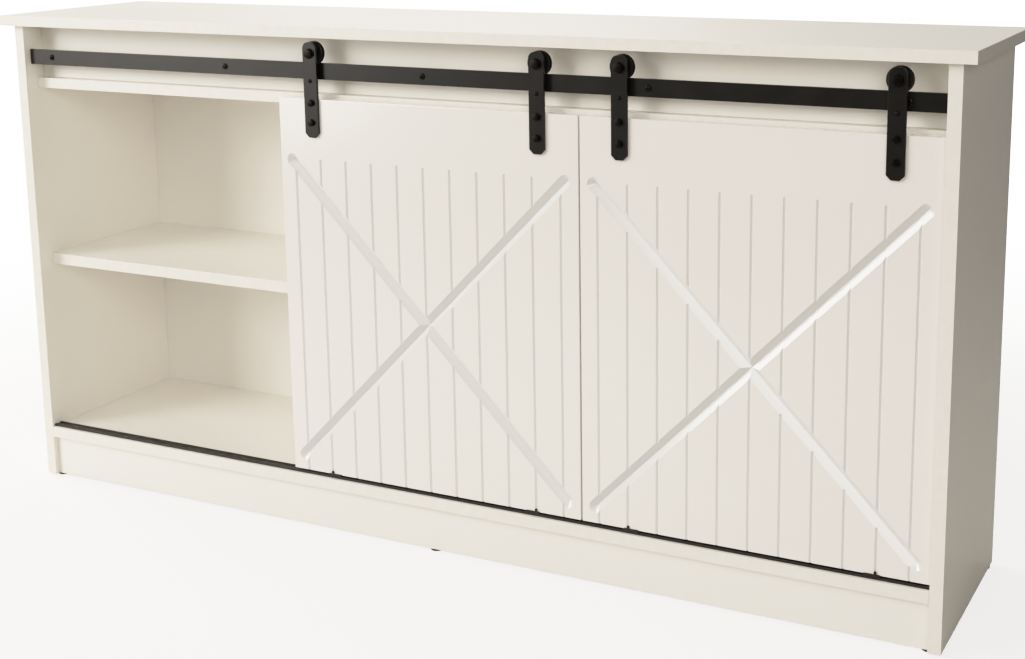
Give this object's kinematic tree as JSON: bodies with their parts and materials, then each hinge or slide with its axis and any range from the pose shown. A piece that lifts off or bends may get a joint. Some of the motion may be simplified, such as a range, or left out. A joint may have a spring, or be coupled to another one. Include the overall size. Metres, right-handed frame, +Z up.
{
  "type": "sideboard",
  "caption": "Long white sideboard with open bays and shelves, closed by sliding plank doors with a grooved cross that hang on wheeled straps from a flat black rail.",
  "frame": {"origin": "on the floor, under the middle of the top panel", "axes": "+X along the length to the right as seen from the front, +Y from the front to the back, +Z up"},
  "size_m": [1.6, 0.345, 0.8018],
  "materials": {
    "white_board": "warm white laminated board, satin",
    "door_board": "warm white laminated board with routed grooves, satin",
    "back_sheet": "thin cream-white fibreboard sheet, matt",
    "black_steel": "satin black painted steel",
    "wheel_plastic": "black moulded plastic",
    "clip_plastic": "black moulded plastic",
    "glide_plastic": "black moulded plastic"
  },
  "bodies": {
    "carcass": {"top_panel": "white_board", "left_side_panel": "white_board", "right_side_panel": "white_board", "bottom_panel": "white_board", "plinth": "white_board", "ceiling_panel": "white_board", "apron": "white_board", "back_panel": "back_sheet", "left_divider": "white_board", "right_divider": "white_board", "left_shelf": "white_board", "middle_shelf": "white_board", "right_shelf": "white_board", "left_front_foot": "glide_plastic", "middle_front_foot": "glide_plastic", "right_front_foot": "glide_plastic", "left_back_foot": "glide_plastic", "right_back_foot": "glide_plastic", "rail": "black_steel", "rail_standoff_1": "black_steel", "rail_standoff_2": "black_steel", "rail_standoff_3": "black_steel", "rail_standoff_4": "black_steel", "rail_standoff_5": "black_steel", "rail_screw_1": "black_steel", "rail_screw_2": "black_steel", "rail_screw_3": "black_steel", "rail_screw_4": "black_steel", "rail_screw_5": "black_steel", "bottom_track": "black_steel"},
    "left_door": {"left_door_panel": "door_board", "left_door_left_strap": "black_steel", "left_door_left_axle_bolt": "black_steel", "left_door_left_guard_pin": "black_steel", "left_door_left_upper_screw": "black_steel", "left_door_left_lower_screw": "black_steel", "left_door_left_clip": "clip_plastic", "left_door_right_strap": "black_steel", "left_door_right_axle_bolt": "black_steel", "left_door_right_guard_pin": "black_steel", "left_door_right_upper_screw": "black_steel", "left_door_right_lower_screw": "black_steel", "left_door_right_clip": "clip_plastic"},
    "right_door": {"right_door_panel": "door_board", "right_door_left_strap": "black_steel", "right_door_left_axle_bolt": "black_steel", "right_door_left_guard_pin": "black_steel", "right_door_left_upper_screw": "black_steel", "right_door_left_lower_screw": "black_steel", "right_door_left_clip": "clip_plastic", "right_door_right_strap": "black_steel", "right_door_right_axle_bolt": "black_steel", "right_door_right_guard_pin": "black_steel", "right_door_right_upper_screw": "black_steel", "right_door_right_lower_screw": "black_steel", "right_door_right_clip": "clip_plastic"},
    "left_door_left_wheel": {"left_door_left_wheel": "wheel_plastic"},
    "left_door_right_wheel": {"left_door_right_wheel": "wheel_plastic"},
    "right_door_left_wheel": {"right_door_left_wheel": "wheel_plastic"},
    "right_door_right_wheel": {"right_door_right_wheel": "wheel_plastic"}
  },
  "joints": [
    {"name": "right_door_slide", "type": "slide", "parent": "carcass", "child": "right_door", "axis": [1, 0, 0], "range_m": [-0.5085, 0]},
    {"name": "left_door_slide", "type": "slide", "parent": "carcass", "child": "left_door", "axis": [1, 0, 0], "range_m": [-0.5085, 0]},
    {"name": "left_door_left_wheel_roll", "type": "hinge", "parent": "left_door", "child": "left_door_left_wheel", "pos_m": [-0.191, -0.1445, 0.76], "axis": [0, 1, 0], "range_deg": [-2040, 0]},
    {"name": "left_door_right_wheel_roll", "type": "hinge", "parent": "left_door", "child": "left_door_right_wheel", "pos_m": [0.191, -0.1445, 0.76], "axis": [0, 1, 0], "range_deg": [-2040, 0]},
    {"name": "right_door_left_wheel_roll", "type": "hinge", "parent": "right_door", "child": "right_door_left_wheel", "pos_m": [0.3175, -0.1445, 0.76], "axis": [0, 1, 0], "range_deg": [-2040, 0]},
    {"name": "right_door_right_wheel_roll", "type": "hinge", "parent": "right_door", "child": "right_door_right_wheel", "pos_m": [0.6995, -0.1445, 0.76], "axis": [0, 1, 0], "range_deg": [-2040, 0]}
  ],
  "couplings": [
    {"joint": "left_door_slide", "follows": "right_door_slide", "ratio": 1},
    {"joint": "left_door_left_wheel_roll", "follows": "right_door_slide", "rad_per_m": 69.93},
    {"joint": "left_door_right_wheel_roll", "follows": "right_door_slide", "rad_per_m": 69.93},
    {"joint": "right_door_left_wheel_roll", "follows": "right_door_slide", "rad_per_m": 69.93},
    {"joint": "right_door_right_wheel_roll", "follows": "right_door_slide", "rad_per_m": 69.93}
  ]
}
